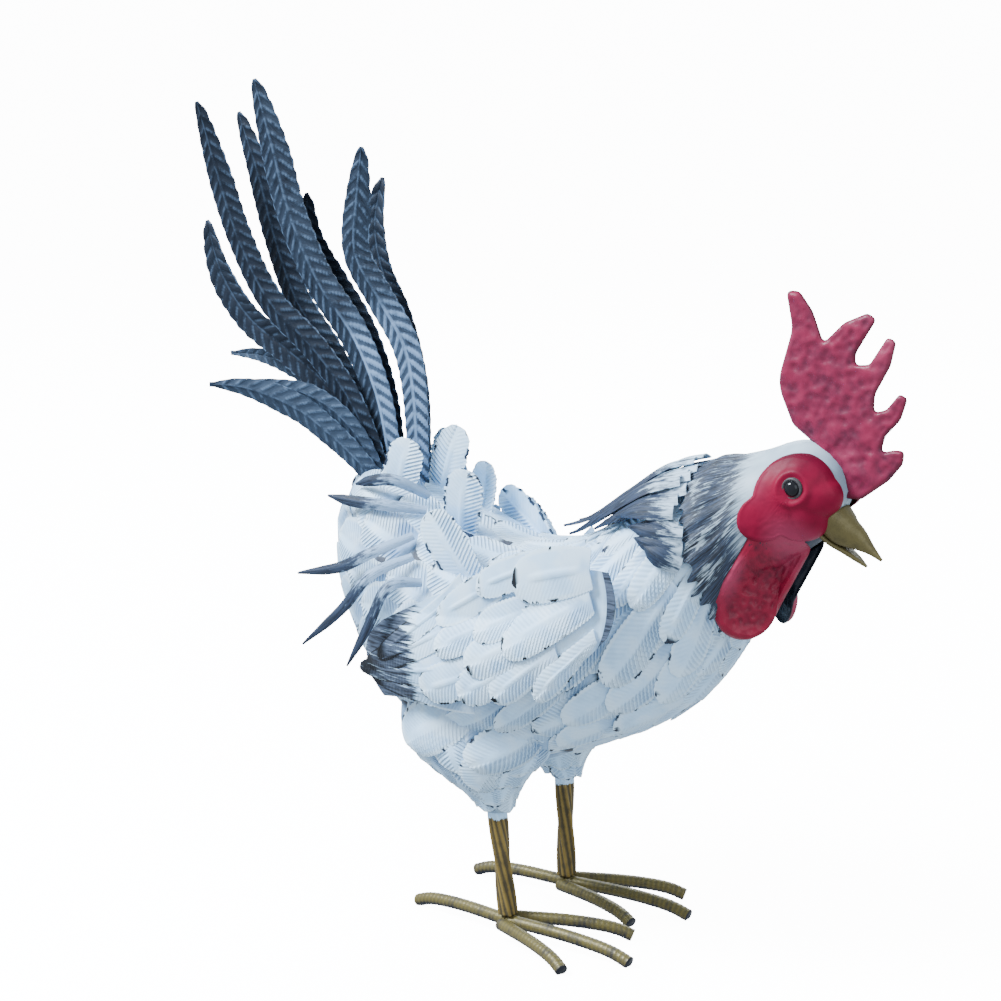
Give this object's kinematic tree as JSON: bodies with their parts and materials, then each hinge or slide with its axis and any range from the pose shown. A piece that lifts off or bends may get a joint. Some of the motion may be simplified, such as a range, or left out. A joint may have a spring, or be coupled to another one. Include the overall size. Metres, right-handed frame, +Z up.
{
  "type": "rooster sculpture",
  "caption": "Standing garden rooster welded from pressed sheet-metal feathers, with tall curved tail feathers, spiked comb, wattles, twisted bar legs and rod toes.",
  "frame": {"origin": "on the floor, under the middle of the bird's overall length and width", "axes": "+X the way the bird looks, +Y its left, +Z up"},
  "size_m": [0.4988, 0.179, 0.5105],
  "materials": {
    "white_paint": "white brushed paint with a blue cast, satin",
    "navy_paint": "navy paint dry-brushed with pale blue, satin",
    "red_paint": "crimson paint, gloss",
    "old_gold": "antique gold paint, worn, satin",
    "black_glass": "black bead, gloss"
  },
  "bodies": {
    "root": {"torso": "white_paint", "head_and_neck": "white_paint", "comb": "red_paint", "beak_upper": "old_gold", "beak_lower": "old_gold", "face_shield_right": "red_paint", "eye_right": "black_glass", "wattle_right": "red_paint", "wing_right": "white_paint", "leg_right": "old_gold", "saddle_feather_right_1": "navy_paint", "saddle_feather_right_2": "navy_paint", "saddle_feather_right_3": "navy_paint", "saddle_feather_right_4": "navy_paint", "saddle_feather_right_5": "navy_paint", "shoulder_feather_right_1": "navy_paint", "shoulder_feather_right_2": "navy_paint", "shoulder_feather_right_3": "navy_paint", "shoulder_feather_right_4": "navy_paint", "shoulder_feather_right_5": "navy_paint", "shoulder_feather_right_6": "navy_paint", "toe_right_back": "old_gold", "toe_right_middle": "old_gold", "toe_right_inner": "old_gold", "toe_right_outer": "old_gold", "face_shield_left": "red_paint", "eye_left": "black_glass", "wattle_left": "red_paint", "wing_left": "white_paint", "leg_left": "old_gold", "saddle_feather_left_1": "navy_paint", "saddle_feather_left_2": "navy_paint", "saddle_feather_left_3": "navy_paint", "saddle_feather_left_4": "navy_paint", "saddle_feather_left_5": "navy_paint", "shoulder_feather_left_1": "navy_paint", "shoulder_feather_left_2": "navy_paint", "shoulder_feather_left_3": "navy_paint", "shoulder_feather_left_4": "navy_paint", "shoulder_feather_left_5": "navy_paint", "shoulder_feather_left_6": "navy_paint", "toe_left_back": "old_gold", "toe_left_middle": "old_gold", "toe_left_inner": "old_gold", "toe_left_outer": "old_gold", "tail_feather_01": "navy_paint", "tail_feather_02": "navy_paint", "tail_feather_03": "navy_paint", "tail_feather_04": "navy_paint", "tail_feather_05": "navy_paint", "tail_feather_06": "navy_paint", "tail_feather_07": "navy_paint", "tail_feather_08": "navy_paint", "tail_feather_09": "navy_paint", "tail_feather_10": "navy_paint"}
  },
  "joints": []
}
